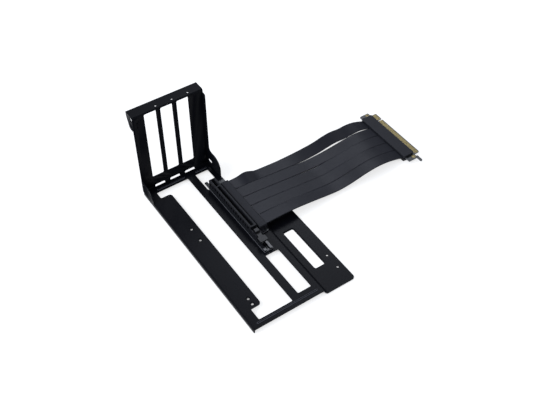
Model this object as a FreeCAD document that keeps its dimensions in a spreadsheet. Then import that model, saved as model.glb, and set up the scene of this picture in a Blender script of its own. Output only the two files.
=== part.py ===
"""Vertical graphics card bracket with a ribbon riser, in millimetres.

One folded steel sheet carries a card slot on a small board. Five flat ribbon strips run from that board
to an edge connector that lies on the same surface.
Sizes are drawn in the bracket's own frame: x = 0 is the panel's inner face, y = 0 the bracket's left edge
and z = 0 the surface it stands on. Each sub-part's Placement then centres the bracket on the origin.
"""
import FreeCAD, Part
import Sketcher
import math
import os

Vector = FreeCAD.Vector
Constraint = Sketcher.Constraint

SIZES = {
    # Folded sheet
    "gauge": 1.2,
    "bend_radius": 0.8,
    "deck_height": 5.2,
    "deck_length": 236.7,
    "joggle_drop": 3.2,
    "plate_width": 40.2,
    "plate_length": 127.3,
    "plate_step": 2.6,
    "plate_corner": 4.0,
    # Slot panel
    "panel_width": 89.3,
    "panel_height": 118.9,
    "flange_depth": 14.4,
    "slot_pitch": 20.32,
    "slot_count": 3,
    "window_first": 22.2,
    "window_width": 15.0,
    "window_bottom": 20.7,
    "window_corner": 1.6,
    "lintel": 2.0,
    "screw_first": 31.8,
    "screw_reach": 4.6,
    "screw_radius": 1.2,
    "tongue_first": 22.7,
    "tongue_length": 13.3,
    "tongue_height": 5.0,
    "tongue_drop": 2.8,
    "tongue_reach": 0.9,
    "tongue_round": 1.65,
    "pin_hole_y": 5.4,
    "pin_hole_first": 102.9,
    "pin_hole_pitch": 6.3,
    "pin_hole_radius": 1.0,
    "pin_hole_depth": 0.9,
    # Side wings and ears of the panel
    "wing_height": 25.0,
    "wing_shoulder": 17.2,
    "wing_length": 25.0,
    "wing_round": 15.0,
    "wing_heel": 6.5,
    "wing_root": 7.0,
    "lip_depth": 5.0,
    "lip_top": 114.2,
    "lip_round": 2.0,
    "flare_height": 28.6,
    "flare_fall": 1.0,
    "flare_length": 29.8,
    "flare_round": 14.0,
    "flare_inner": 5.0,
    "flare_slot_length": 8.8,
    "flare_slot_width": 5.0,
    "flare_slot_round": 2.4,
    "flare_slot_x": 6.9,
    "flare_slot_z": 12.3,
    "ear_height": 20.7,
    "ear_shoulder": 5.4,
    "ear_taper": 5.0,
    "ear_round": 6.0,
    "ear_toe": 4.0,
    "relief_radius": 2.8,
    "relief_x": 3.0,
    "relief_drop": 4.1,
    # Openings of the deck
    "rear_rim": 10.5,
    "front_rim": 8.5,
    "left_rim": 11.8,
    "tab_edge": 25.2,
    "tab_rear": 21.5,
    "tab_setback": 24.1,
    "tab_corner": 4.0,
    "opening_corner": 1.5,
    "right_strip": 7.6,
    "column_width": 17.3,
    "bar_width": 10.0,
    "rear_window_lap": 11.0,
    "front_window_gap": 3.0,
    "front_window_setback": 13.2,
    # Cable slot with a rolled rim
    "cable_slot_setback": 34.6,
    "cable_slot_length": 61.2,
    "cable_slot_gap": 11.75,
    "cable_slot_width": 12.9,
    "cable_slot_corner": 1.8,
    "rim_wall": 1.4,
    "rim_roll": 1.2,
    # Small holes
    "hole_radius": 1.4,
    "sink_radius": 2.7,
    "sink_depth": 0.5,
    "strip_hole_y": 16.9,
    "plate_hole_inset": 6.9,
    # Stamped stiffening beads
    "bead_width": 2.4,
    "bead_round": 1.15,
    "bead_rise": 0.6,
    "bead_front_inset": 5.5,
    "bead_rear_x": 7.4,
    "front_bead_start": 7.3,
    "front_bead_inset": 4.6,
    "rear_bead_start": 14.3,
    "rear_bead_inset": 7.1,
    "bead_bar_gap": 2.35,
    # Riser board and its film
    "film": 0.3,
    "board_thick": 1.6,
    "board_rear": 30.0,
    "board_front": 158.5,
    "riser_inset": 1.3,
    "board_width": 22.15,
    "neck_width": 11.6,
    "board_corner": 1.2,
    "neck_rear": 37.0,
    "neck_lap": 3.6,
    "notch_depth": 3.4,
    "notch_width": 2.4,
    "notch_inset": 3.6,
    # Card slot
    "slot_rear": 39.0,
    "slot_length": 89.0,
    "slot_width": 8.2,
    "slot_height": 11.25,
    "slot_inset": 5.35,
    "mouth_start": 1.5,
    "mouth_length": 85.4,
    "mouth_width": 3.6,
    "mouth_depth": 8.4,
    "mouth_lead": 0.4,
    "key_start": 11.9,
    "key_width": 1.6,
    "cell_pitch": 5.0,
    "cell_length": 2.7,
    "cell_depth": 1.2,
    "cell_height": 5.2,
    "cell_roof": 2.4,
    "contact_pitch": 1.0,
    "contact_width": 0.6,
    "contact_thick": 0.25,
    "contact_height": 2.2,
    # Retention latch
    "cheek_length": 13.0,
    "cheek_wall": 1.2,
    "cheek_lap": 1.0,
    "cheek_round": 3.6,
    "foot_length": 17.4,
    "foot_gap": 4.4,
    "foot_width": 3.1,
    "foot_height": 1.9,
    "foot_round": 1.0,
    "pivot_reach": 7.5,
    "pivot_rise": 4.5,
    "pivot_radius": 1.2,
    "pivot_play": 0.05,
    "latch_play": 0.25,
    "hook_rise": 11.0,
    "hook_nose": 2.6,
    "hook_lip": 1.2,
    "hook_round": 0.6,
    "arm_thick": 3.2,
    "arm_round": 1.4,
    "thumb_rise": 6.4,
    "thumb_thick": 2.0,
    "thumb_start": 142.6,
    "thumb_end": 150.4,
    "thumb_width": 9.8,
    "thumb_round": 1.2,
    "thumb_lap": 2.0,
    "arm_crook": 1.0,
    # Cover over the ribbon's solder joints
    "cover_rear": 46.6,
    "cover_length": 83.4,
    "cover_inset": 1.0,
    "cover_depth": 10.5,
    "cover_height": 7.1,
    "cover_wall": 1.2,
    "cover_round": 1.4,
    "boss_radius": 2.7,
    "boss_inset": 7.4,
    "skirt_thick": 0.9,
    "skirt_reach": 3.2,
    "skirt_side": 0.8,
    "skirt_width": 6.4,
    "skirt_round": 2.4,
    # Screws
    "thread_radius": 1.5,
    "thread_play": 0.05,
    "head_radius": 2.75,
    "board_head_radius": 2.0,
    "head_height": 1.9,
    "board_screw_x": 149.6,
    "screw_grip": 5.0,
    "screw_end_gap": 1.0,
    # Ribbon
    "strip_count": 5,
    "strip_pitch": 16.2,
    "strip_width": 15.8,
    "strip_thick": 1.2,
    # Edge connector at the ribbon's far end
    "ribbon_reach": 201.7,
    "far_cover_depth": 15.5,
    "far_cover_height": 3.2,
    "edge_board_inset": 3.0,
    "shoulder_reach": 16.2,
    "edge_reach": 24.2,
    "edge_length": 84.9,
    "edge_notch": 1.9,
    "edge_key": 11.65,
    "edge_bevel": 0.8,
    "ear_reach": 6.4,
    "ear_hole_radius": 1.5,
    "ear_hole_reach": 12.5,
    "ear_hole_inset": 3.4,
    "edge_round": 1.0,
    "shoulder_round": 0.8,
    "eyelet_wall": 0.3,
    "eyelet_rim": 0.8,
    "plating": 0.1,
    "prong_length": 7.4,
    "prong_setback": 1.2,
    "prong_width": 3.0,
    "prong_round": 1.3,
    "prong_relief": 2.5,
    "pad_width": 0.7,
    "pad_length": 5.6,
    "pad_setback": 1.2,
    # Working allowances
    "overcut": 1.0,
}

# Countersunk holes of the left strip, from its rear and from the deck's front edge, and plain holes of the
# right plate, from its front edge.
REAR_STRIP_HOLES = (82.7, 102.1)
FRONT_STRIP_HOLES = (36.9, 28.8)
PLATE_HOLES = (42.1, 22.6)

# Ribbon routes, one for each strip from rear to front: distance from the riser's cover, and the height of the
# strip's lower face. The rearmost strip has a crease by the cover and a hump of its own.
ROUTES = (
    ((0, 11.9), (11.7, 12.4), (23.7, 12.0), (37.7, 8.4), (51.7, 6.0), (67.7, 4.6), (85.7, 5.6), (103.7, 7.6),
     (123.7, 9.4), (136.7, 12.4), (148.7, 13.2), (161.7, 11.2), (174.7, 11.4), (188.7, 8.6), (201.7, 4.4)),
    ((0, 11.8), (18.7, 10.4), (39.7, 8.0), (61.7, 6.0), (83.7, 4.4), (103.7, 3.4), (123.7, 4.8), (143.7, 6.4),
     (163.7, 7.8), (183.7, 7.4), (201.7, 4.4)),
    ((0, 11.8), (18.7, 10.6), (39.7, 8.4), (61.7, 6.4), (83.7, 4.2), (103.7, 2.3), (123.7, 4.6), (143.7, 7.4),
     (163.7, 9.0), (183.7, 7.6), (201.7, 4.4)),
    ((0, 11.8), (18.7, 11.0), (39.7, 9.3), (61.7, 7.3), (83.7, 4.8), (103.7, 3.1), (123.7, 5.0), (143.7, 8.4),
     (163.7, 10.2), (183.7, 8.2), (201.7, 4.4)),
    ((0, 11.8), (18.7, 12.0), (39.7, 10.9), (61.7, 8.4), (83.7, 5.4), (103.7, 3.5), (123.7, 5.2), (143.7, 9.4),
     (163.7, 11.4), (183.7, 8.8), (201.7, 4.4)),
)

doc = FreeCAD.newDocument("graphics_card_bracket")
sheet = doc.addObject("Spreadsheet::Sheet", "Sizes")
for row, (alias, value) in enumerate(SIZES.items(), start=1):
    sheet.set(f"A{row}", str(value))
    sheet.setAlias(f"A{row}", alias)
doc.recompute()


def size(alias):
    """A driving size, read from the sheet."""
    return float(sheet.get(alias))


# Heights and places that several sub-parts share, written with the sheet's names.
PLATE_TOP = "(Sizes.deck_height - Sizes.joggle_drop)"
PLATE_FRONT = "(Sizes.deck_length + Sizes.plate_step)"
PLATE_REAR = f"({PLATE_FRONT} - Sizes.plate_length)"
PLATE_EDGE = "(Sizes.panel_width + Sizes.plate_width)"
COLUMN_RIGHT = "(Sizes.panel_width - Sizes.right_strip)"
BAR_RIGHT = f"({COLUMN_RIGHT} - Sizes.column_width)"
BAR_LEFT = f"({BAR_RIGHT} - Sizes.bar_width)"
BOARD_RIGHT = "(Sizes.panel_width - Sizes.riser_inset)"
BOARD_LEFT = f"({BOARD_RIGHT} - Sizes.board_width)"
BOARD_NECK = f"({BOARD_LEFT} + Sizes.neck_width)"
SLOT_MIDDLE = f"({BOARD_LEFT} + Sizes.slot_inset)"
COVER_RIGHT = "(Sizes.panel_width - Sizes.cover_inset)"
COVER_LEFT = f"({COVER_RIGHT} - Sizes.cover_depth)"
FAR_START = f"({COVER_RIGHT} + Sizes.ribbon_reach)"
EDGE_SHOULDER = f"({FAR_START} + Sizes.shoulder_reach)"
EDGE_END = f"({FAR_START} + Sizes.edge_reach)"
EAR_HOLE_Y = f"({FAR_START} + Sizes.ear_hole_reach)"
BOARD_BASE = "(Sizes.deck_height + Sizes.film)"
BOARD_TOP = "(Sizes.deck_height + Sizes.film + Sizes.board_thick)"
SLOT_TOP = f"({BOARD_TOP} + Sizes.slot_height)"
SLOT_END = "(Sizes.slot_rear + Sizes.slot_length)"
PIVOT_X = f"({SLOT_END} + Sizes.pivot_reach)"
PIVOT_Z = f"({BOARD_TOP} + Sizes.pivot_rise)"
COVER_END = "(Sizes.cover_rear + Sizes.cover_length)"
BOSS_Y = f"({COVER_RIGHT} - Sizes.cover_depth / 2)"
CENTRE_X = f"(({PLATE_FRONT} - Sizes.flange_depth) / 2)"
CENTRE_Y = f"({PLATE_EDGE} / 2)"
RIBBON_X = "(Sizes.cover_rear + Sizes.cover_length / 2)"
EDGE_REAR = f"({RIBBON_X} - Sizes.edge_length / 2)"
EDGE_FRONT = f"({RIBBON_X} + Sizes.edge_length / 2)"
EDGE_BASE = "Sizes.far_cover_height"
EDGE_TOP = "(Sizes.far_cover_height + Sizes.board_thick)"
OVERCUT = "Sizes.overcut"
THROUGH = "(Sizes.gauge + Sizes.overcut * 2)"


def number(expression):
    """The value of an expression in the sheet's names, or of a plain number."""
    return float(sheet.evalExpression(str(expression)))


def settle(sub_part):
    """Shift a finished sub-part so that the bracket is centred on the origin."""
    sub_part.setExpression("Placement.Base.x", f"-{CENTRE_X}")
    sub_part.setExpression("Placement.Base.y", f"-{CENTRE_Y}")


def new_body(label):
    body = doc.addObject("PartDesign::Body", label)
    body.Label = label
    return body


def new_sketch(body, plane, offset):
    """A sketch on one of the body's origin planes, lifted along that plane's own normal."""
    sketch = body.newObject("Sketcher::SketchObject", f"{body.Name}_sketch")
    support = [feature for feature in body.Origin.OriginFeatures if feature.Role == plane][0]
    sketch.AttachmentSupport = [(support, "")]
    sketch.MapMode = "FlatFace"
    sketch.setExpression("AttachmentOffset.Base.z", str(offset))
    return sketch


def hold(sketch, kind, geometry, position, axis_value):
    """Tie one point of a sketch to the sheet, along x or y from the sketch's origin."""
    index = sketch.addConstraint(Constraint(kind, -1, 1, geometry, position, number(axis_value)))
    sketch.setExpression(f"Constraints[{index}]", str(axis_value))


def draw_outline(sketch, corners):
    """Draw a closed outline through corners (x, y) or (x, y, radius), each an expression.

    A rounded corner keeps a construction point at its sharp corner, so every size stays tied to the sheet.
    """
    count = len(corners)
    points = [Vector(number(corner[0]), number(corner[1]), 0) for corner in corners]
    radii = [number(corner[2]) if len(corner) > 2 else 0.0 for corner in corners]
    entry, leave = [], []
    for index in range(count):
        before = points[index - 1] - points[index]
        after = points[(index + 1) % count] - points[index]
        before.normalize()
        after.normalize()
        reach = radii[index] / math.tan(before.getAngle(after) / 2) if radii[index] else 0.0
        entry.append(points[index] + before * reach)
        leave.append(points[index] + after * reach)
    lines = [sketch.addGeometry(Part.LineSegment(leave[index], entry[(index + 1) % count]), False)
             for index in range(count)]
    for index, corner in enumerate(corners):
        incoming, outgoing = lines[index - 1], lines[index]
        if not radii[index]:
            sketch.addConstraint(Constraint("Coincident", incoming, 2, outgoing, 1))
            hold(sketch, "DistanceX", outgoing, 1, corner[0])
            hold(sketch, "DistanceY", outgoing, 1, corner[1])
            continue
        middle = (entry[index] + leave[index]) / 2 - points[index]
        middle.normalize()
        reach = (entry[index] - points[index]).Length
        centre_gap = math.hypot(reach, radii[index])
        crown = points[index] + middle * (centre_gap - radii[index])
        arc_curve = Part.Arc(entry[index], crown, leave[index]).toShape().Curve
        centre = arc_curve.Center
        start = math.atan2(entry[index].y - centre.y, entry[index].x - centre.x)
        end = math.atan2(leave[index].y - centre.y, leave[index].x - centre.x)
        turn = (entry[index] - centre).cross(leave[index] - centre).z
        circle = Part.Circle(centre, Vector(0, 0, 1), radii[index])
        first, last = (start, end) if turn > 0 else (end, start)
        arc = sketch.addGeometry(Part.ArcOfCircle(circle, first, last), False)
        entry_end, leave_end = (1, 2) if turn > 0 else (2, 1)
        sketch.addConstraint(Constraint("Tangent", incoming, 2, arc, entry_end))
        sketch.addConstraint(Constraint("Tangent", outgoing, 1, arc, leave_end))
        sharp = sketch.addGeometry(Part.Point(points[index]), True)
        hold(sketch, "DistanceX", sharp, 1, corner[0])
        hold(sketch, "DistanceY", sharp, 1, corner[1])
        sketch.addConstraint(Constraint("PointOnObject", sharp, 1, incoming))
        sketch.addConstraint(Constraint("PointOnObject", sharp, 1, outgoing))
        radius = sketch.addConstraint(Constraint("Radius", arc, radii[index]))
        sketch.setExpression(f"Constraints[{radius}]", str(corner[2]))


def draw_circle(sketch, x, y, radius):
    circle = sketch.addGeometry(
        Part.Circle(Vector(number(x), number(y), 0), Vector(0, 0, 1), number(radius)), False)
    hold(sketch, "DistanceX", circle, 3, x)
    hold(sketch, "DistanceY", circle, 3, y)
    index = sketch.addConstraint(Constraint("Radius", circle, number(radius)))
    sketch.setExpression(f"Constraints[{index}]", str(radius))


def draw(sketch, shapes):
    """Draw outlines (lists of corners) and circles ((x, y, radius) tuples)."""
    for shape in shapes:
        if isinstance(shape, list):
            draw_outline(sketch, shape)
        else:
            draw_circle(sketch, *shape)


def rectangle(x0, y0, x1, y1, radius=None):
    corners = [(x0, y0), (x1, y0), (x1, y1), (x0, y1)]
    return [corner + (radius,) for corner in corners] if radius else corners


def add(body, plane, start, length, shapes, taper=0):
    """Pad shapes from start, over length, towards the plane's positive axis."""
    across = plane == "XZ_Plane"
    sketch = new_sketch(body, plane, f"-({start})" if across else start)
    draw(sketch, shapes)
    pad = body.newObject("PartDesign::Pad", f"{body.Name}_pad")
    pad.Profile = sketch
    pad.setExpression("Length", str(length))
    pad.Reversed = across
    pad.TaperAngle = taper
    doc.recompute()
    return pad


def cut(body, plane, start, length, shapes):
    """Pocket shapes between start and start + length along the plane's positive axis."""
    before = body.Shape.Volume
    across = plane == "XZ_Plane"
    sketch = new_sketch(body, plane, f"-({start})" if across else f"{start} + {length}")
    draw(sketch, shapes)
    pocket = body.newObject("PartDesign::Pocket", f"{body.Name}_pocket")
    pocket.Profile = sketch
    pocket.setExpression("Length", str(length))
    doc.recompute()
    if body.Shape.Volume > before - 1e-6:
        raise RuntimeError(f"a cut in {body.Label} removed nothing")
    return pocket


def along_x(body, feature, step, count):
    """Repeat a feature of the body along x."""
    pattern = body.newObject("PartDesign::LinearPattern", f"{body.Name}_pattern")
    pattern.Originals = [feature]
    axis = [item for item in body.Origin.OriginFeatures if item.Role == "X_Axis"][0]
    pattern.Direction = (axis, [""])
    pattern.setExpression("Length", f"({step}) * ({count} - 1)")
    pattern.Occurrences = count
    body.Tip = pattern
    doc.recompute()
    return pattern


def round_edges(body, radius, chosen):
    """Fillet the edges of the body's solid for which chosen(edge) is true."""
    base = body.Tip
    names = [f"Edge{index}" for index, edge in enumerate(base.Shape.Edges, start=1) if chosen(edge)]
    fillet = body.newObject("PartDesign::Fillet", f"{body.Name}_fillet")
    fillet.Base = (base, names)
    fillet.setExpression("Radius", str(radius))
    doc.recompute()
    return fillet


def make_group(label, solids):
    """Several like solids in one sub-part."""
    group = doc.addObject("Part::Feature", label)
    group.Label = label
    group.Shape = Part.makeCompound(solids)
    return group


def block(x0, y0, z0, length, width, height):
    return Part.makeBox(length, width, height, Vector(x0, y0, z0))


def make_bracket():
    """The folded sheet: deck with a left lip and a lowered right plate, slot panel, flange, wings and ears."""
    body = new_body("bracket")
    outer = "(Sizes.bend_radius + Sizes.gauge)"
    inner = "Sizes.bend_radius"
    under = "(Sizes.deck_height - Sizes.gauge)"
    slant = f"(Sizes.gauge * {math.sqrt(2) - 1})"
    plate_start = "(Sizes.panel_width + Sizes.joggle_drop)"
    add(body, "YZ_Plane", inner, f"{PLATE_FRONT} - {inner}", [[
        (0, 0),
        (0, "Sizes.deck_height", outer),
        ("Sizes.panel_width", "Sizes.deck_height", outer),
        (plate_start, PLATE_TOP, inner),
        (PLATE_EDGE, PLATE_TOP),
        (PLATE_EDGE, f"{PLATE_TOP} - Sizes.gauge"),
        (f"{plate_start} - {slant}", f"{PLATE_TOP} - Sizes.gauge", outer),
        (f"Sizes.panel_width - {slant}", under, inner),
        ("Sizes.gauge", under, inner),
        ("Sizes.gauge", 0),
    ]])
    cut(body, "XY_Plane", 0, f"Sizes.deck_height + {OVERCUT}", [
        rectangle("Sizes.deck_length", f"-{OVERCUT}", f"{PLATE_FRONT} + {OVERCUT}", "Sizes.panel_width"),
        rectangle(0, "Sizes.panel_width", PLATE_REAR, f"{PLATE_EDGE} + {OVERCUT}"),
    ])
    round_edges(body, "Sizes.plate_corner", upright_edge(PLATE_FRONT, PLATE_EDGE))
    foot = f"({inner} + Sizes.gauge * 2)"
    top = "Sizes.panel_height"
    add(body, "XZ_Plane", 0, "Sizes.panel_width", [[
        (foot, "Sizes.deck_height"),
        (0, "Sizes.deck_height", inner),
        (0, top, outer),
        ("-Sizes.flange_depth", top),
        ("-Sizes.flange_depth", f"{top} - Sizes.gauge"),
        ("-Sizes.gauge", f"{top} - Sizes.gauge", inner),
        ("-Sizes.gauge", under, outer),
        (foot, under),
    ]])
    add_wings(body)
    cut_panel(body)
    cut_deck(body)
    add_cable_slot(body)
    add_beads(body)
    settle(body)


def upright_edge(x, y):
    """Pick the vertical edge that stands at a place."""
    place = (number(x), number(y))

    def chosen(edge):
        ends = [vertex.Point for vertex in edge.Vertexes]
        return len(ends) == 2 and all(math.dist((end.x, end.y), place) < 1e-3 for end in ends)
    return chosen


def add_wings(body):
    """Side wings at the panel's foot and quarter-round ears under the ends of its flange."""
    far_side = "(Sizes.panel_width - Sizes.gauge)"
    add(body, "XZ_Plane", 0, "Sizes.gauge", [[
        ("-Sizes.gauge", "Sizes.wing_height"),
        ("Sizes.wing_length", "Sizes.wing_shoulder", "Sizes.wing_round"),
        ("Sizes.wing_length", 0),
        ("Sizes.wing_heel", 0),
        ("-Sizes.gauge", "Sizes.wing_root"),
    ]])
    add(body, "XZ_Plane", far_side, "Sizes.gauge", [[
        ("-Sizes.gauge", "Sizes.lip_top"),
        ("Sizes.lip_depth", "Sizes.lip_top", "Sizes.lip_round"),
        ("Sizes.lip_depth", "Sizes.flare_height", "Sizes.flare_inner"),
        ("Sizes.flare_length", "Sizes.flare_height - Sizes.flare_fall", "Sizes.flare_round"),
        ("Sizes.flare_length", "Sizes.deck_height - Sizes.gauge"),
        ("Sizes.bend_radius", "Sizes.deck_height - Sizes.gauge"),
        ("-Sizes.gauge", "Sizes.deck_height + Sizes.bend_radius"),
    ]])
    slot_end = "(Sizes.flare_slot_length / 2)"
    slot_side = "(Sizes.flare_slot_width / 2)"
    cut(body, "XZ_Plane", f"{far_side} - {OVERCUT}", THROUGH, [rectangle(
        f"Sizes.flare_slot_x - {slot_end}", f"Sizes.flare_slot_z - {slot_side}",
        f"Sizes.flare_slot_x + {slot_end}", f"Sizes.flare_slot_z + {slot_side}", "Sizes.flare_slot_round")])
    ear_foot = "(Sizes.panel_height - Sizes.ear_height)"
    under_flange = "(Sizes.panel_height - Sizes.gauge / 2)"
    for start in ("0", far_side):
        add(body, "XZ_Plane", start, "Sizes.gauge", [[
            ("-Sizes.gauge / 2", under_flange),
            ("-Sizes.flange_depth", under_flange),
            ("-Sizes.flange_depth", "Sizes.panel_height - Sizes.ear_shoulder", "Sizes.ear_round"),
            ("-Sizes.flange_depth + Sizes.ear_taper", ear_foot, "Sizes.ear_toe"),
            ("-Sizes.gauge / 2", ear_foot),
        ]])
    cut(body, "XZ_Plane", f"-{OVERCUT}", f"Sizes.gauge + {OVERCUT}",
        [("-Sizes.relief_x", "Sizes.panel_height - Sizes.relief_drop", "Sizes.relief_radius")])


def row_of(first, half, low, high, radius=None):
    """Upright outlines at the expansion slots' pitch, centred on first and its neighbours."""
    middles = [f"({first} + Sizes.slot_pitch * {index})" for index in range(int(size("slot_count")))]
    return [rectangle(f"{middle} - {half}", low, f"{middle} + {half}", high, radius) for middle in middles]


def cut_panel(body):
    """Card windows, the slots for the cards' tongues at their foot, and the screw holes of the flange."""
    behind = f"-Sizes.gauge - {OVERCUT}"
    cut(body, "YZ_Plane", behind, THROUGH, row_of(
        "Sizes.window_first", "Sizes.window_width / 2", "Sizes.window_bottom",
        "Sizes.panel_height - Sizes.lintel", "Sizes.window_corner"))
    foot = "(Sizes.deck_height - Sizes.tongue_drop)"
    cut(body, "YZ_Plane", behind, f"Sizes.gauge + {OVERCUT} + Sizes.tongue_reach", row_of(
        "Sizes.tongue_first", "Sizes.tongue_length / 2", foot, f"{foot} + Sizes.tongue_height",
        "Sizes.tongue_round"))
    cut(body, "YZ_Plane", "-Sizes.pin_hole_depth", f"Sizes.pin_hole_depth + {OVERCUT}", [
        ("Sizes.pin_hole_y", f"Sizes.pin_hole_first + Sizes.pin_hole_pitch * {index}", "Sizes.pin_hole_radius")
        for index in range(2)])
    holes = [("-Sizes.screw_reach", f"Sizes.screw_first + Sizes.slot_pitch * {index}", "Sizes.screw_radius")
             for index in range(int(size("slot_count")))]
    cut(body, "XY_Plane", f"Sizes.panel_height - Sizes.gauge - {OVERCUT}", THROUGH, holes)


def cut_deck(body):
    """The large openings, the riser's screw holes and the countersunk holes of the left strip."""
    below = f"{PLATE_TOP} - Sizes.gauge - {OVERCUT}"
    front = "(Sizes.deck_length - Sizes.front_rim)"
    tab_front = "(Sizes.deck_length - Sizes.tab_setback)"
    left_opening = [
        ("Sizes.rear_rim", "Sizes.left_rim", "Sizes.opening_corner"),
        ("Sizes.tab_rear", "Sizes.left_rim", "Sizes.opening_corner"),
        ("Sizes.tab_rear", "Sizes.tab_edge", "Sizes.tab_corner"),
        (tab_front, "Sizes.tab_edge", "Sizes.tab_corner"),
        (tab_front, "Sizes.left_rim", "Sizes.opening_corner"),
        (front, "Sizes.left_rim", "Sizes.opening_corner"),
        (front, BAR_LEFT, "Sizes.opening_corner"),
        ("Sizes.rear_rim", BAR_LEFT, "Sizes.opening_corner"),
    ]
    stretches = (
        ("Sizes.rear_rim", "Sizes.board_rear + Sizes.rear_window_lap"),
        ("Sizes.board_front + Sizes.front_window_gap", "Sizes.deck_length - Sizes.front_window_setback"))
    column = [rectangle(rear, BAR_RIGHT, end, COLUMN_RIGHT, "Sizes.opening_corner") for rear, end in stretches]
    thread = "(Sizes.thread_radius + Sizes.thread_play)"
    screws = [(x, BOSS_Y, thread) for x in cover_screw_places()]
    screws.append(("Sizes.board_screw_x", SLOT_MIDDLE, thread))
    strip_places = [str(x) for x in REAR_STRIP_HOLES] + [f"Sizes.deck_length - {x}" for x in FRONT_STRIP_HOLES]
    holes = [(x, "Sizes.strip_hole_y", "Sizes.hole_radius") for x in strip_places]
    holes += [(f"{PLATE_FRONT} - {x}", f"{PLATE_EDGE} - Sizes.plate_hole_inset", "Sizes.hole_radius")
              for x in PLATE_HOLES]
    cut(body, "XY_Plane", below, f"Sizes.deck_height + {OVERCUT} * 2", [left_opening] + column + screws + holes)
    cut(body, "XY_Plane", "Sizes.deck_height - Sizes.sink_depth", f"Sizes.sink_depth + {OVERCUT}",
        [(x, "Sizes.strip_hole_y", "Sizes.sink_radius") for x in strip_places])


def cover_screw_places():
    return ("(Sizes.cover_rear + Sizes.boss_inset)", f"({COVER_END} - Sizes.boss_inset)")


def add_cable_slot(body):
    """The cable slot of the right plate, with its edge rolled down to the surface below."""
    front = f"({PLATE_FRONT} - Sizes.cable_slot_setback)"
    left = "(Sizes.panel_width + Sizes.cable_slot_gap)"
    edges = (f"({front} - Sizes.cable_slot_length)", left, front, f"({left} + Sizes.cable_slot_width)")
    wall = "Sizes.rim_wall"
    add(body, "XY_Plane", 0, PLATE_TOP, [rectangle(
        f"{edges[0]} - {wall}", f"{edges[1]} - {wall}", f"{edges[2]} + {wall}", f"{edges[3]} + {wall}",
        f"Sizes.cable_slot_corner + {wall}")])
    cut(body, "XY_Plane", f"-{OVERCUT}", f"{PLATE_TOP} + {OVERCUT} * 2",
        [rectangle(*edges, "Sizes.cable_slot_corner")])
    height = number(PLATE_TOP)
    box = [number(edge) for edge in edges]

    def on_rim(edge):
        middle = edge.valueAt((edge.FirstParameter + edge.LastParameter) / 2)
        ends = [vertex.Point for vertex in edge.Vertexes]
        level = all(abs(point.z - height) < 1e-3 for point in ends + [middle])
        inside = box[0] - 1e-3 < middle.x < box[2] + 1e-3 and box[1] - 1e-3 < middle.y < box[3] + 1e-3
        return level and inside
    round_edges(body, "Sizes.rim_roll", on_rim)


def add_beads(body):
    """Stamped beads that stiffen the front and rear rims."""
    side = "Sizes.bead_width / 2"
    front_x = "(Sizes.deck_length - Sizes.bead_front_inset)"
    beads = (
        (front_x, "Sizes.front_bead_start", "Sizes.panel_width - Sizes.front_bead_inset"),
        ("Sizes.bead_rear_x", "Sizes.rear_bead_start", f"{BAR_LEFT} - Sizes.bead_bar_gap"),
        ("Sizes.bead_rear_x", f"{BAR_RIGHT} + Sizes.bead_bar_gap", "Sizes.panel_width - Sizes.rear_bead_inset"))
    add(body, "XY_Plane", "Sizes.deck_height - Sizes.gauge / 2", "Sizes.gauge / 2 + Sizes.bead_rise", [
        rectangle(f"{x} - {side}", start, f"{x} + {side}", end, "Sizes.bead_round") for x, start, end in beads])


def board_outline(corner=None):
    """Plan of the riser board: a neck under the slot and latch, and a wide part under the cover."""
    rounded = (corner,) if corner else ()
    notch_left = f"({BOARD_LEFT} + Sizes.notch_inset)"
    notch_right = f"({notch_left} + Sizes.notch_width)"
    notch_end = "(Sizes.board_rear + Sizes.notch_depth)"
    neck_front = f"({COVER_END} + Sizes.neck_lap)"
    return [
        ("Sizes.board_rear", BOARD_LEFT),
        ("Sizes.board_front", BOARD_LEFT) + rounded,
        ("Sizes.board_front", BOARD_NECK) + rounded,
        (neck_front, BOARD_NECK) + rounded,
        (neck_front, BOARD_RIGHT) + rounded,
        ("Sizes.neck_rear", BOARD_RIGHT) + rounded,
        ("Sizes.neck_rear", BOARD_NECK),
        ("Sizes.board_rear", BOARD_NECK) + rounded,
        ("Sizes.board_rear", notch_right),
        (notch_end, notch_right),
        (notch_end, notch_left),
        ("Sizes.board_rear", notch_left),
    ]


def make_board():
    """The riser's circuit board, and the insulating film between it and the steel."""
    thread = "(Sizes.thread_radius + Sizes.thread_play)"
    holes = [(x, BOSS_Y, thread) for x in cover_screw_places()]
    holes.append(("Sizes.board_screw_x", SLOT_MIDDLE, thread))
    for label, base, thick, corner in (("insulating_film", "Sizes.deck_height", "Sizes.film", None),
                                       ("riser_board", BOARD_BASE, "Sizes.board_thick", "Sizes.board_corner")):
        body = new_body(label)
        add(body, "XY_Plane", base, thick, [board_outline(corner)])
        cut(body, "XY_Plane", f"{base} - {OVERCUT}", f"{thick} + {OVERCUT} * 2", holes)
        settle(body)


def mouth_stretches():
    """The slot's mouth along x, as (start, end) on each side of its key."""
    start = "(Sizes.slot_rear + Sizes.mouth_start)"
    key = f"({start} + Sizes.key_start)"
    return ((start, key), (f"({key} + Sizes.key_width)", f"({start} + Sizes.mouth_length)"))


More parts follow.
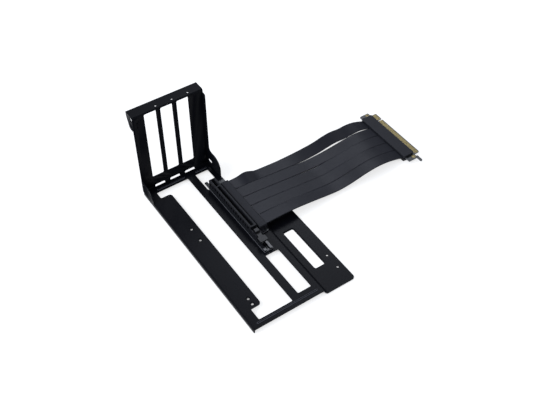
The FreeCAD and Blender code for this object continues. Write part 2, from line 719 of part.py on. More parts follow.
def make_slot():
    """The card slot: a moulded housing with contact cells, two cheeks that carry the latch, and feet."""
    body = new_body("slot_housing")
    left = f"({SLOT_MIDDLE} - Sizes.slot_width / 2)"
    right = f"({SLOT_MIDDLE} + Sizes.slot_width / 2)"
    add(body, "XY_Plane", BOARD_TOP, "Sizes.slot_height",
        [rectangle("Sizes.slot_rear", left, SLOT_END, right)])
    cheek_end = f"({SLOT_END} + Sizes.cheek_length)"
    cheek_top = f"({PIVOT_Z} + Sizes.cheek_round)"
    for start in (left, f"({right} - Sizes.cheek_wall)"):
        add(body, "XZ_Plane", start, "Sizes.cheek_wall", [[
            (f"{SLOT_END} - Sizes.cheek_lap", BOARD_TOP),
            (cheek_end, BOARD_TOP),
            (cheek_end, cheek_top, "Sizes.cheek_round"),
            (f"{SLOT_END} - Sizes.cheek_lap", cheek_top),
        ]])
    inner = "(Sizes.foot_gap / 2)"
    outer = f"({inner} + Sizes.foot_width)"
    foot_start, foot_end = f"{cheek_end} - Sizes.cheek_lap", f"{cheek_end} + Sizes.foot_length"
    add(body, "XY_Plane", BOARD_TOP, "Sizes.foot_height", [
        rectangle(foot_start, f"{SLOT_MIDDLE} - {outer}", foot_end, f"{SLOT_MIDDLE} - {inner}", "Sizes.foot_round"),
        rectangle(foot_start, f"{SLOT_MIDDLE} + {inner}", foot_end, f"{SLOT_MIDDLE} + {outer}", "Sizes.foot_round"),
    ])
    cut(body, "XZ_Plane", f"{left} - {OVERCUT}", f"Sizes.slot_width + {OVERCUT} * 2",
        [(PIVOT_X, PIVOT_Z, "Sizes.pivot_radius + Sizes.pivot_play")])
    half = "(Sizes.mouth_width / 2)"
    cut(body, "XY_Plane", f"{SLOT_TOP} - Sizes.mouth_depth", f"Sizes.mouth_depth + {OVERCUT}", [
        rectangle(start, f"{SLOT_MIDDLE} - {half}", end, f"{SLOT_MIDDLE} + {half}")
        for start, end in mouth_stretches()])
    lead = f"({half} + Sizes.mouth_lead)"
    cut(body, "XY_Plane", f"{SLOT_TOP} - Sizes.mouth_lead", f"Sizes.mouth_lead + {OVERCUT}", [
        rectangle(start, f"{SLOT_MIDDLE} - {lead}", end, f"{SLOT_MIDDLE} + {lead}")
        for start, end in mouth_stretches()])
    cell_start = "(Sizes.slot_rear + Sizes.cell_pitch / 2)"
    cells = int((size("slot_length") - size("cell_pitch") / 2) // size("cell_pitch"))
    cell_end = f"({cell_start} + Sizes.cell_length)"
    cell_top = f"({SLOT_TOP} - Sizes.cell_roof)"
    for start in (f"{left} - {OVERCUT}", f"{right} - Sizes.cell_depth"):
        cell = cut(body, "XZ_Plane", start, f"Sizes.cell_depth + {OVERCUT}",
                   [rectangle(cell_start, f"{cell_top} - Sizes.cell_height", cell_end, cell_top)])
        along_x(body, cell, "Sizes.cell_pitch", cells)
    settle(body)


def contact_places(start, end):
    """Contacts at their pitch, centred on one stretch."""
    pitch = size("contact_pitch")
    count = int((end - start) // pitch)
    first = (start + end - (count - 1) * pitch) / 2
    return [first + pitch * index for index in range(count)]


def make_contacts():
    """Spring contacts along both walls of the mouth, one group a side."""
    width, thick, height = size("contact_width"), size("contact_thick"), size("contact_height")
    foot = number(SLOT_TOP) - size("mouth_depth")
    walls = {"slot_contacts_left": number(SLOT_MIDDLE) - size("mouth_width") / 2,
             "slot_contacts_right": number(SLOT_MIDDLE) + size("mouth_width") / 2 - thick}
    for label, wall in walls.items():
        places = [x for start, end in mouth_stretches() for x in contact_places(number(start), number(end))]
        group = make_group(label, [block(x - width / 2, wall, foot, width, thick, height) for x in places])
        settle(group)


def make_latch():
    """The retention latch: a hook over the slot's end, a thumb plate and two pivot pins."""
    body = new_body("slot_latch")
    arm_half = "(Sizes.slot_width / 2 - Sizes.cheek_wall - Sizes.latch_play)"
    hook_back = f"({PIVOT_X} + Sizes.arm_thick / 2)"
    hook_front = f"({PIVOT_X} - Sizes.arm_thick / 2)"
    hook_top = f"({BOARD_TOP} + Sizes.hook_rise)"
    thumb_base = f"({BOARD_TOP} + Sizes.thumb_rise)"
    arm_foot = f"({PIVOT_Z} - Sizes.arm_thick / 2)"
    thumb_inner = "(Sizes.thumb_start + Sizes.thumb_lap)"
    tip = "Sizes.hook_round"
    add(body, "XZ_Plane", f"{SLOT_MIDDLE} - {arm_half}", f"{arm_half} * 2", [[
        (hook_front, arm_foot, "Sizes.arm_round"),
        (hook_back, arm_foot, "Sizes.arm_round"),
        (thumb_inner, f"{thumb_base} - {tip}"),
        (thumb_inner, f"{thumb_base} + Sizes.thumb_thick"),
        (hook_back, f"{thumb_base} + Sizes.thumb_thick", "Sizes.arm_crook"),
        (hook_back, hook_top, "Sizes.arm_crook"),
        (f"{hook_front} - Sizes.hook_nose", hook_top, tip),
        (f"{hook_front} - Sizes.hook_nose", f"{hook_top} - Sizes.hook_lip"),
        (hook_front, f"{hook_top} - Sizes.hook_nose - {tip}", tip),
    ]])
    half = "(Sizes.thumb_width / 2)"
    add(body, "XY_Plane", thumb_base, "Sizes.thumb_thick", [rectangle(
        "Sizes.thumb_start", f"{SLOT_MIDDLE} - {half}", "Sizes.thumb_end", f"{SLOT_MIDDLE} + {half}",
        "Sizes.thumb_round")])
    add(body, "XZ_Plane", f"{SLOT_MIDDLE} - Sizes.slot_width / 2", "Sizes.slot_width",
        [(PIVOT_X, PIVOT_Z, "Sizes.pivot_radius")])
    settle(body)


def make_cover():
    """The hollow cover over the ribbon's joints, with a screw boss near each end."""
    body = new_body("riser_cover")
    edges = ("Sizes.cover_rear", COVER_LEFT, COVER_END, COVER_RIGHT)
    wall = "Sizes.cover_wall"
    add(body, "XY_Plane", BOARD_TOP, "Sizes.cover_height", [rectangle(*edges)])
    crest = number(BOARD_TOP) + size("cover_height")
    round_edges(body, "Sizes.cover_round", lambda edge: all(abs(end.Z - crest) < 1e-3 for end in edge.Vertexes))
    cut(body, "XY_Plane", f"{BOARD_TOP} - {OVERCUT}", f"Sizes.cover_height + {OVERCUT} - {wall}", [rectangle(
        f"{edges[0]} + {wall}", f"{edges[1]} + {wall}", f"{edges[2]} - {wall}", f"{edges[3]} - {wall}")])
    add(body, "XY_Plane", BOARD_TOP, f"Sizes.cover_height - {wall} / 2",
        [(x, BOSS_Y, "Sizes.boss_radius") for x in cover_screw_places()])
    cut(body, "XY_Plane", f"{BOARD_TOP} - {OVERCUT}", f"Sizes.screw_grip + {OVERCUT}",
        [(x, BOSS_Y, "Sizes.thread_radius + Sizes.thread_play") for x in cover_screw_places()])
    skirt_left = f"({COVER_LEFT} - Sizes.skirt_side)"
    add(body, "XY_Plane", BOARD_TOP, "Sizes.skirt_thick", [[
        (f"{COVER_END} - {wall}", skirt_left),
        (f"{COVER_END} + Sizes.skirt_reach", skirt_left, "Sizes.skirt_round"),
        (f"{COVER_END} + Sizes.skirt_reach", f"{skirt_left} + Sizes.skirt_width"),
        (f"{COVER_END} - {wall}", f"{skirt_left} + Sizes.skirt_width"),
    ]])
    settle(body)


def make_screw(x, y, seat, length, head_radius, upward):
    """A flat-topped screw whose head rests on seat, with its thread pointing up or down."""
    facing = Vector(0, 0, 1 if upward else -1)
    foot = Vector(x, y, seat)
    thread = Part.makeCylinder(size("thread_radius"), length, foot, facing)
    head = Part.makeCylinder(head_radius, size("head_height"), foot, facing * -1)
    return head.fuse(thread).removeSplitter()


def make_screws():
    """One screw through the board's front end, and two that hold the cover from under the deck."""
    grip = size("film") + size("board_thick") + size("gauge")
    front = make_screw(
        size("board_screw_x"), number(SLOT_MIDDLE), number(BOARD_TOP), grip, size("board_head_radius"), False)
    settle(make_group("board_screw", [front]))
    seat = size("deck_height") - size("gauge")
    length = grip + size("screw_grip") - size("screw_end_gap")
    settle(make_group("cover_screws", [
        make_screw(number(x), number(BOSS_Y), seat, length, size("head_radius"), True)
        for x in cover_screw_places()]))


# How much of its shorter run an arc of a ribbon route may take up.
ARC_SHARE = 0.45


def strip_path(route):
    """Straight runs joined by tangent arcs, each nearly as large as its two runs allow."""
    start = number(COVER_RIGHT)
    points = [Vector(0, start + reach, z) for reach, z in route]
    edges, radii, last = [], [], points[0]
    for index in range(1, len(points) - 1):
        before = points[index - 1] - points[index]
        after = points[index + 1] - points[index]
        reach = ARC_SHARE * min(before.Length, after.Length)
        turn = math.pi - before.getAngle(after)
        radius = reach / math.tan(turn / 2)
        before.normalize()
        after.normalize()
        entry = points[index] + before * reach
        leave = points[index] + after * reach
        inward = before + after
        inward.normalize()
        crown = points[index] + inward * (radius / math.cos(turn / 2) - radius)
        edges += [Part.LineSegment(last, entry).toShape(), Part.Arc(entry, crown, leave).toShape()]
        radii.append(radius)
        last = leave
    edges.append(Part.LineSegment(last, points[-1]).toShape())
    return Part.Wire(edges), radii


def make_strips():
    """The five flat ribbon strips, side by side."""
    width, thick = size("strip_width"), size("strip_thick")
    middle = (size("strip_count") - 1) / 2
    for index, route in enumerate(ROUTES):
        path, radii = strip_path(route)
        section = path.makeOffset2D(thick, fill=True, openResult=True)
        if section.CenterOfMass.z < path.CenterOfMass.z:
            section = path.makeOffset2D(-thick, fill=True, openResult=True)
        x = number(RIBBON_X) + (index - middle) * size("strip_pitch")
        solid = section.extrude(Vector(width, 0, 0))
        solid.translate(Vector(x - width / 2, 0, 0))
        strip = make_group(f"ribbon_strip_{index + 1}", [solid])
        settle(strip)
        share = solid.Volume / (width * thick * path.Length)
        print(f"strip {index + 1}: length {path.Length:.1f}, volume share {share:.3f}, radii",
              [round(radius) for radius in radii])


def edge_outline():
    """Plan of the connector's board: ears at both ends, a keyed edge and a retention prong."""
    rear = f"({EDGE_REAR} - Sizes.ear_reach)"
    front = f"({EDGE_FRONT} + Sizes.ear_reach)"
    board_start = f"({FAR_START} + Sizes.edge_board_inset)"
    key = f"({EDGE_REAR} + Sizes.edge_key)"
    key_end = f"({key} + Sizes.edge_notch)"
    bevel = "Sizes.edge_bevel"
    prong_rear = f"({EDGE_SHOULDER} - Sizes.prong_setback)"
    prong_front = f"({prong_rear} + Sizes.prong_width)"
    prong_end = f"({front} + Sizes.prong_length)"
    relief = f"({front} - Sizes.prong_relief)"
    corner, inner, tip = "Sizes.edge_round", "Sizes.shoulder_round", "Sizes.prong_round"
    return [
        (rear, board_start, corner),
        (front, board_start, corner),
        (front, prong_rear, inner),
        (prong_end, prong_rear, tip),
        (prong_end, prong_front, tip),
        (relief, prong_front, inner),
        (relief, EDGE_SHOULDER),
        (EDGE_FRONT, EDGE_SHOULDER, inner),
        (EDGE_FRONT, f"{EDGE_END} - {bevel}"),
        (f"{EDGE_FRONT} - {bevel}", EDGE_END),
        (f"{key_end} + {bevel}", EDGE_END),
        (key_end, f"{EDGE_END} - {bevel}"),
        (key_end, EDGE_SHOULDER),
        (key, EDGE_SHOULDER),
        (key, f"{EDGE_END} - {bevel}"),
        (f"{key} - {bevel}", EDGE_END),
        (f"{EDGE_REAR} + {bevel}", EDGE_END),
        (EDGE_REAR, f"{EDGE_END} - {bevel}"),
        (EDGE_REAR, EDGE_SHOULDER, inner),
        (rear, EDGE_SHOULDER, corner),
    ]


def ear_places():
    reach = "(Sizes.ear_reach - Sizes.ear_hole_inset)"
    return (f"({EDGE_REAR} - {reach})", f"({EDGE_FRONT} + {reach})")


def make_edge_board():
    """The board of the edge connector, its plated contact pads and the eyelets of its ears."""
    body = new_body("edge_board")
    add(body, "XY_Plane", EDGE_BASE, "Sizes.board_thick", [edge_outline()])
    cut(body, "XY_Plane", f"{EDGE_BASE} - {OVERCUT}", f"Sizes.board_thick + {OVERCUT} * 2",
        [(x, EAR_HOLE_Y, "Sizes.ear_hole_radius") for x in ear_places()])
    settle(body)
    rear = number(EDGE_REAR)
    key = rear + size("edge_key")
    stretches = ((rear, key), (key + size("edge_notch"), number(EDGE_FRONT)))
    start = number(EDGE_END) - size("pad_setback") - size("pad_length")
    width, length, plating = size("pad_width"), size("pad_length"), size("plating")
    faces = {"edge_contacts_upper": number(EDGE_TOP), "edge_contacts_lower": number(EDGE_BASE) - plating}
    for label, face in faces.items():
        places = [x for stretch in stretches for x in contact_places(*stretch)]
        settle(make_group(label, [block(x - width / 2, start, face, width, length, plating) for x in places]))
    hole, wall, rim = size("ear_hole_radius"), size("eyelet_wall"), size("eyelet_rim")
    eyelets = []
    for x in ear_places():
        foot = Vector(number(x), number(EAR_HOLE_Y), number(EDGE_BASE))
        crest = Vector(foot.x, foot.y, number(EDGE_TOP))
        barrel = Part.makeCylinder(hole - size("thread_play"), size("board_thick"), foot)
        flange = Part.makeCylinder(hole + rim, plating, crest)
        bore = Part.makeCylinder(hole - wall, size("board_thick") + plating * 2, foot - Vector(0, 0, plating))
        eyelets.append(barrel.fuse(flange).cut(bore))
    settle(make_group("ear_eyelets", eyelets))


def make_edge_covers():
    """The two shells that close over the ribbon's joints at the edge connector."""
    far_end = f"({FAR_START} + Sizes.far_cover_depth)"
    edges = ("Sizes.cover_rear", FAR_START, COVER_END, far_end)
    for label, base in (("edge_cover_lower", "0"), ("edge_cover_upper", EDGE_TOP)):
        body = new_body(label)
        add(body, "XY_Plane", base, "Sizes.far_cover_height", [rectangle(*edges, "Sizes.cover_round")])
        settle(body)


make_bracket()
make_board()
make_slot()
make_contacts()
make_latch()
make_cover()
make_screws()
make_strips()
make_edge_board()
make_edge_covers()
doc.recompute()

for item in doc.Objects:
    if "Invalid" in item.State or "Error" in item.State:
        raise RuntimeError(f"{item.Label} failed: {item.State}")

os.makedirs("parts", exist_ok=True)
sub_parts = [item for item in doc.Objects
             if item.TypeId == "PartDesign::Body" or item.TypeId == "Part::Feature"]
for sub_part in sub_parts:
    shape = sub_part.Shape
    if shape.isNull() or not shape.isValid():
        raise RuntimeError(f"{sub_part.Label} has no valid shape")
    box = shape.BoundBox
    print(f"{sub_part.Label}: {len(shape.Solids)} solids, {shape.Volume:.0f} mm3,",
          f"x {box.XMin:.1f} {box.XMax:.1f}, y {box.YMin:.1f} {box.YMax:.1f}, z {box.ZMin:.2f} {box.ZMax:.2f}")
for sub_part in sub_parts:
    sub_part.Shape.exportStep(f"parts/{sub_part.Label}.step")
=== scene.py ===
# %% [markdown]
# # A vertical graphics card bracket with a ribbon riser
# The object is a folded black steel sheet that holds a graphics card upright, with a card slot on a small
# board and five flat ribbon strips that end in an edge connector. The measured solids come from the packed
# frame, and this lesson dresses them: softened edges, finishes, the ribbon and a studio.

# %% The frame
import math

import bmesh
import bpy
from mathutils import Matrix, Quaternion, Vector


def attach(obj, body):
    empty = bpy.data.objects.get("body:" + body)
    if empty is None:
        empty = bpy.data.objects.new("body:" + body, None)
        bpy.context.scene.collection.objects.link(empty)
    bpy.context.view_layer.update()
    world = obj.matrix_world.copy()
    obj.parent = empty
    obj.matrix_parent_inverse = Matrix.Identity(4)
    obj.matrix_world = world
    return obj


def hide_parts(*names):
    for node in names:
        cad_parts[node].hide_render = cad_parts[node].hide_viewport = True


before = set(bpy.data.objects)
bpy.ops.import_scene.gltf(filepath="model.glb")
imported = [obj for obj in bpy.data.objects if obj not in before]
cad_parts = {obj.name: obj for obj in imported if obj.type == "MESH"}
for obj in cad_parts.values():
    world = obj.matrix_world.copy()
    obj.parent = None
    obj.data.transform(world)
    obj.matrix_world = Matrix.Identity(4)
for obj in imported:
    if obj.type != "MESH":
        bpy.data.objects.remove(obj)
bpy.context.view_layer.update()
scene = bpy.context.scene
scene.view_settings.view_transform = "Standard"
MM = 0.001

# %% [markdown]
# ## Camera
# The camera stands where the photographer stood: above the front left corner, looking down by about 47
# degrees. It was fitted to the windows of the slot panel and to the flat deck, so it is given by its place,
# the point on the floor that it looks at, its small roll and its lens.

# %% Camera
CAMERA_PLACE = Vector((0.53233, -0.31966, 0.71692))
CAMERA_AIM = Vector((-0.01021, 0.05245, 0.0))
CAMERA_ROLL = math.radians(0.138)
camera_data = bpy.data.cameras.new("camera")
camera_data.lens = 54.61
camera_data.sensor_width = 36.0
camera = bpy.data.objects.new("camera", camera_data)
scene.collection.objects.link(camera)
camera.rotation_mode = "QUATERNION"
camera.location = CAMERA_PLACE
facing = (CAMERA_AIM - CAMERA_PLACE).to_track_quat("-Z", "Y")
camera.rotation_quaternion = facing @ Quaternion((0, 0, 1), CAMERA_ROLL)
scene.camera = camera
print("camera at", tuple(camera.location))

# %% [markdown]
# ## Colours and nodes
# Colours are written as they look on a screen, in hex, and one function turns them into the linear values
# that the shaders count with. One more function adds a shader node with its settings and its links.


# %% Colour and node helpers
def linear(hex_colour):
    """An sRGB hex colour as linear red, green, blue and alpha."""
    parts = [int(hex_colour[index:index + 2], 16) / 255 for index in (1, 3, 5)]
    return [value / 12.92 if value <= 0.04045 else ((value + 0.055) / 1.055) ** 2.4 for value in parts] + [1.0]


def add_node(tree, kind, inputs=None, **settings):
    """A node of that kind. An input is given a number, a colour, or another node's output to link."""
    made = tree.nodes.new(kind)
    for name, value in settings.items():
        setattr(made, name, value)
    for socket, value in (inputs or {}).items():
        if isinstance(value, bpy.types.NodeSocket):
            tree.links.new(value, made.inputs[socket])
        else:
            made.inputs[socket].default_value = value
    return made


def per_mm(size_mm):
    """The texture scale at which one feature of a pattern is that many millimetres wide."""
    return 1 / (size_mm * MM)


def new_material(name, constants):
    """A material with its principled shader's constant sockets set, and the piece's own coordinates."""
    material = bpy.data.materials.new(name)
    material.use_nodes = True
    tree = material.node_tree
    shader = tree.nodes["Principled BSDF"]
    for socket, value in constants.items():
        shader.inputs[socket].default_value = value
    place = add_node(tree, "ShaderNodeTexCoord").outputs["Object"]
    return material, tree, shader, place


# The mix node keeps one set of sockets for each type: these are the factor, the two colours and the result.
MIX, FIRST, SECOND, MIXED = 0, 6, 7, 2

# %% [markdown]
# ## Powder-coated steel
# Powder coat is a baked plastic skin about 0.08 mm thick. It is matte, flows into a faint orange peel of one
# or two millimetres, and carries a fine grit. The peel is a soft bump and the grit roughens the gloss. Marked
# bevel faces are painted a little lighter, and the bead's crest much lighter, as painted highlight.

# %% Powder-coated steel
powder_coat, tree, shader, place = new_material("powder_coated_steel", {"IOR": 1.5, "Specular IOR Level": 0.09})
peel = add_node(tree, "ShaderNodeTexNoise", {"Vector": place, "Scale": per_mm(1.6), "Detail": 2.0})
grit = add_node(tree, "ShaderNodeTexNoise", {"Vector": place, "Scale": per_mm(0.5), "Detail": 1.0})
patches = add_node(tree, "ShaderNodeTexNoise", {"Vector": place, "Scale": per_mm(38.0), "Detail": 3.0})
edge = add_node(tree, "ShaderNodeAttribute", attribute_name="edge")
tone = add_node(tree, "ShaderNodeMix", {
    MIX: patches.outputs["Fac"], FIRST: linear("#090a0f"), SECOND: linear("#0c0d13")}, data_type="RGBA")
# Painted highlight: the marked bevel faces blend towards a light grey, and the bead's crest blends fully.
painted_edge_highlight = add_node(tree, "ShaderNodeMix", {
    MIX: edge.outputs["Fac"], FIRST: tone.outputs[MIXED], SECOND: linear("#4c4d54")}, data_type="RGBA")
gloss = add_node(tree, "ShaderNodeMapRange", {"Value": grit.outputs["Fac"], "To Min": 0.33, "To Max": 0.39})
bump = add_node(tree, "ShaderNodeBump", {
    "Height": peel.outputs["Fac"], "Strength": 0.08, "Distance": 0.05 * MM})
tree.links.new(painted_edge_highlight.outputs[MIXED], shader.inputs["Base Color"])
tree.links.new(gloss.outputs["Result"], shader.inputs["Roughness"])
tree.links.new(bump.outputs["Normal"], shader.inputs["Normal"])

# %% [markdown]
# ## Moulded plastics
# The slot, the latch and the covers are moulded from black engineering plastic. The mould leaves a fine
# spark-eroded grain on the covers, a smoother skin on the slot, and a polish on the latch that picks up
# bright highlights. All three share one recipe with different grain, gloss and tone, and one more near-black,
# dull entry is painted shade for the floors of the slot's cells.

# %% Moulded plastics
MOULDED = {
    # name: dark tone, light tone, grain in mm, grain depth in mm, least and most roughness, specular level
    "moulded_slot_nylon": ("#191a1e", "#202126", 0.7, 0.03, 0.38, 0.48, 0.16),
    # painted shade: near-black and dull, standing in for the shade deep in the slot's shallow cells
    "painted_shade_cell_nylon": ("#040405", "#060608", 0.7, 0.01, 0.6, 0.7, 0.0),
    "latch_nylon": ("#121316", "#17181b", 1.2, 0.02, 0.26, 0.34, 0.22),
    "polished_foot_nylon": ("#1a1b1e", "#202125", 1.2, 0.02, 0.16, 0.24, 0.4),
    "spark_grained_cover_plastic": ("#232429", "#292a30", 0.6, 0.05, 0.5, 0.62, 0.2),
}
plastics = {}
for name, (dark, light, grain, depth, least, most, level) in MOULDED.items():
    plastics[name], tree, shader, place = new_material(name, {"IOR": 1.5, "Specular IOR Level": level})
    cloud = add_node(tree, "ShaderNodeTexNoise", {"Vector": place, "Scale": per_mm(12.0), "Detail": 3.0})
    fine = add_node(tree, "ShaderNodeTexNoise", {"Vector": place, "Scale": per_mm(grain), "Detail": 2.0})
    tone = add_node(tree, "ShaderNodeMix", {
        MIX: cloud.outputs["Fac"], FIRST: linear(dark), SECOND: linear(light)}, data_type="RGBA")
    gloss = add_node(tree, "ShaderNodeMapRange", {"Value": fine.outputs["Fac"], "To Min": least, "To Max": most})
    bump = add_node(tree, "ShaderNodeBump", {
        "Height": fine.outputs["Fac"], "Strength": 0.3, "Distance": depth * MM})
    tree.links.new(tone.outputs[MIXED], shader.inputs["Base Color"])
    tree.links.new(gloss.outputs["Result"], shader.inputs["Roughness"])
    tree.links.new(bump.outputs["Normal"], shader.inputs["Normal"])
print("plastics:", sorted(plastics))

# %% [markdown]
# ## Ribbon jacket
# Each strip is a flat cable: conductors side by side in a soft black jacket. The conductors show as faint
# ridges along the strip, so the bump is a wave across x, and the jacket has a satin sheen with slow
# changes of tone. The ridges are drawn at 0.9 mm, about twice their real pitch, so that they show at all.

# %% Ribbon jacket
ribbon_jacket, tree, shader, place = new_material("flat_cable_jacket", {"IOR": 1.48, "Specular IOR Level": 0.18})
wires = add_node(tree, "ShaderNodeTexWave", {
    "Vector": place, "Scale": per_mm(0.9) * math.tau / 20, "Distortion": 0.0}, wave_type="BANDS", bands_direction="X")
cloud = add_node(tree, "ShaderNodeTexNoise", {"Vector": place, "Scale": per_mm(22.0), "Detail": 3.0})
skin = add_node(tree, "ShaderNodeTexNoise", {"Vector": place, "Scale": per_mm(0.8), "Detail": 2.0})
tone = add_node(tree, "ShaderNodeMix", {
    MIX: cloud.outputs["Fac"], FIRST: linear("#1f2026"), SECOND: linear("#27282f")}, data_type="RGBA")
gloss = add_node(tree, "ShaderNodeMapRange", {"Value": skin.outputs["Fac"], "To Min": 0.36, "To Max": 0.46})
bump = add_node(tree, "ShaderNodeBump", {
    "Height": wires.outputs["Fac"], "Strength": 0.25, "Distance": 0.04 * MM})
tree.links.new(tone.outputs[MIXED], shader.inputs["Base Color"])
tree.links.new(gloss.outputs["Result"], shader.inputs["Roughness"])
tree.links.new(bump.outputs["Normal"], shader.inputs["Normal"])

# %% [markdown]
# ## Circuit board, gold and screws
# The boards are glass-fibre laminate under a black solder mask, a thin smooth lacquer that shows the weave
# faintly. Its cut sides are bare and paler. The edge connector's contacts and the eyelets are nickel with a thin gold
# plate, the slot's contacts are a bronze tone darkened as painted shade, and the screws are steel with black zinc.

# %% Circuit board lacquer
solder_mask, tree, shader, place = new_material("black_solder_mask", {"IOR": 1.5, "Specular IOR Level": 0.5})
weave = add_node(tree, "ShaderNodeTexChecker", {
    "Vector": place, "Scale": per_mm(0.9), "Color1": linear("#15181a"), "Color2": linear("#1a1e20")})
smear = add_node(tree, "ShaderNodeTexNoise", {"Vector": place, "Scale": per_mm(3.0), "Detail": 2.0})
gloss = add_node(tree, "ShaderNodeMapRange", {"Value": smear.outputs["Fac"], "To Min": 0.24, "To Max": 0.36})
upright = add_node(tree, "ShaderNodeAttribute", attribute_name="upright")
tone = add_node(tree, "ShaderNodeMix", {
    MIX: upright.outputs["Fac"], FIRST: weave.outputs["Color"], SECOND: linear("#6c6d72")}, data_type="RGBA")
tree.links.new(tone.outputs[MIXED], shader.inputs["Base Color"])
tree.links.new(gloss.outputs["Result"], shader.inputs["Roughness"])

# %% Gold plate, bronze darkened as painted shade, and black zinc
METALS = {
    # name: dark tone, light tone, smear in mm, least and most roughness
    "gold_plated_nickel": ("#8c7e54", "#a39569", 2.5, 0.4, 0.52),
    # painted shade: a bronze tone darkened for the slot's contacts, which lie deep in the slot
    "painted_shade_bronze": ("#2c261a", "#3a3324", 2.0, 0.4, 0.5),
    "black_zinc_steel": ("#26262a", "#34353a", 0.8, 0.3, 0.48),
}
metals = {}
for name, (dark, light, smear_mm, least, most) in METALS.items():
    metals[name], tree, shader, place = new_material(name, {"Metallic": 1.0})
    smear = add_node(tree, "ShaderNodeTexNoise", {"Vector": place, "Scale": per_mm(smear_mm), "Detail": 3.0})
    tone = add_node(tree, "ShaderNodeMix", {
        MIX: smear.outputs["Fac"], FIRST: linear(dark), SECOND: linear(light)}, data_type="RGBA")
    gloss = add_node(tree, "ShaderNodeMapRange", {"Value": smear.outputs["Fac"], "To Min": least, "To Max": most})
    tree.links.new(tone.outputs[MIXED], shader.inputs["Base Color"])
    tree.links.new(gloss.outputs["Result"], shader.inputs["Roughness"])
gold_plate, painted_shade_bronze = metals["gold_plated_nickel"], metals["painted_shade_bronze"]
black_zinc = metals["black_zinc_steel"]

# %% Insulating film
insulating_film, tree, shader, place = new_material("polycarbonate_film", {"IOR": 1.58, "Specular IOR Level": 0.4})
smear = add_node(tree, "ShaderNodeTexNoise", {"Vector": place, "Scale": per_mm(0.7), "Detail": 2.0})
tone = add_node(tree, "ShaderNodeMix", {
    MIX: smear.outputs["Fac"], FIRST: linear("#131315"), SECOND: linear("#1a1a1d")}, data_type="RGBA")
gloss = add_node(tree, "ShaderNodeMapRange", {"Value": smear.outputs["Fac"], "To Min": 0.4, "To Max": 0.6})
tree.links.new(tone.outputs[MIXED], shader.inputs["Base Color"])
tree.links.new(gloss.outputs["Result"], shader.inputs["Roughness"])

# %% [markdown]
# ## Softened copies of the solids
# Real edges are never knife sharp: sheet steel has a small burr-free radius under its coat, and moulded
# parts have the radius of their mould. Each solid is copied, its loose triangles are merged and flattened
# into clean faces, and its sharp edges are bevelled. The bevel's faces are marked for a painted highlight.


# %% Softening
def finish_piece(name, shape, material, body, nodes):
    """Turn a bmesh into a smooth-shaded piece that rides on a body and stands for its CAD nodes."""
    mesh = bpy.data.meshes.new(name)
    shape.to_mesh(mesh)
    shape.free()
    mesh.materials.append(material)
    mesh.polygons.foreach_set("use_smooth", [True] * len(mesh.polygons))
    mesh.set_sharp_from_angle(angle=math.radians(34))
    piece = bpy.data.objects.new(name, mesh)
    scene.collection.objects.link(piece)
    flat = piece.modifiers.new("flat_faces", "WEIGHTED_NORMAL")
    flat.keep_sharp = True
    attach(piece, body)
    if nodes:
        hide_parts(*nodes)
    return piece


def rounded(shape, edges, radius_mm, segments):
    """Bevel edges of a bmesh to a round, and give the new faces."""
    return bmesh.ops.bevel(
        shape, geom=edges, offset=radius_mm * MM, offset_type="OFFSET", segments=segments, profile=0.5,
        affect="EDGES", clamp_overlap=True, material=-1, loop_slide=True)["faces"]


def sharp_edges(shape, degrees=40):
    return [edge for edge in shape.edges
            if len(edge.link_faces) == 2 and edge.calc_face_angle() > math.radians(degrees)]


def merged(node):
    """A copy of a CAD node's mesh, its loose triangles merged and flattened into clean faces."""
    shape = bmesh.new()
    shape.from_mesh(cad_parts[node].data)
    bmesh.ops.remove_doubles(shape, verts=shape.verts, dist=0.002 * MM)
    bmesh.ops.dissolve_limit(
        shape, angle_limit=math.radians(1.0), use_dissolve_boundaries=False, verts=shape.verts, edges=shape.edges,
        delimit={"NORMAL"})
    return shape


def softened(node, radius_mm, segments=2, crest_mm=None):
    """A merged copy of a CAD node's mesh with its sharp edges bevelled, and more so at a crest's height."""
    shape = merged(node)
    highlight_marks = shape.faces.layers.float.new("edge")
    upright = shape.faces.layers.float.new("upright")
    if crest_mm:
        crests = [edge for edge in sharp_edges(shape)
                  if all(abs(vertex.co.z - crest_mm * MM) < 0.01 * MM for vertex in edge.verts)]
        # Painted highlight: the bead's crest faces are marked fully, so the powder coat paints them lightest.
        crest_faces = rounded(shape, crests, CREST_RADIUS, 4)
        for face in crest_faces:
            face[highlight_marks] = 1.0
    # Painted highlight: the other bevel faces are marked a quarter.
    for face in rounded(shape, sharp_edges(shape), radius_mm, segments):
        face[highlight_marks] = 0.25
    shape.normal_update()
    for face in shape.faces:
        face[upright] = 1.0 if abs(face.normal.z) < 0.3 else 0.0
    return shape


BEAD_CREST, CREST_RADIUS = 5.8, 0.9


SOFTENED = {
    # node: edge radius in mm, material, slot, body
    "bracket": (0.18, powder_coat, "powder_coat", "frame"),
    "riser_board": (0.1, solder_mask, "board", "frame"),
    "slot_housing": (0.15, plastics["moulded_slot_nylon"], "slot_plastic", "frame"),
    "slot_latch": (0.45, plastics["latch_nylon"], "latch_plastic", "latch"),
    "riser_cover": (0.2, plastics["spark_grained_cover_plastic"], "cover_plastic", "frame"),
    "edge_board": (0.1, solder_mask, "board", "frame"),
    "edge_cover_lower": (0.2, plastics["spark_grained_cover_plastic"], "cover_plastic", "frame"),
    "edge_cover_upper": (0.2, plastics["spark_grained_cover_plastic"], "cover_plastic", "frame"),
}
pieces = {}
FEET_START, SLOT_MIDDLE, CELL_FLOOR = 0.0285, 0.00645, 2.9 * MM
for node, (radius, material, slot, body) in SOFTENED.items():
    crest = BEAD_CREST if node == "bracket" else None
    segments = 3 if node == "slot_latch" else 2
    shape = softened(node, radius, segments, crest)
    pieces[node] = finish_piece(f"{node}_finished", shape, material, body, [node])
    print(node, "faces:", len(pieces[node].data.polygons))

housing = pieces["slot_housing"].data
housing.materials.append(plastics["polished_foot_nylon"])
housing.materials.append(plastics["painted_shade_cell_nylon"])
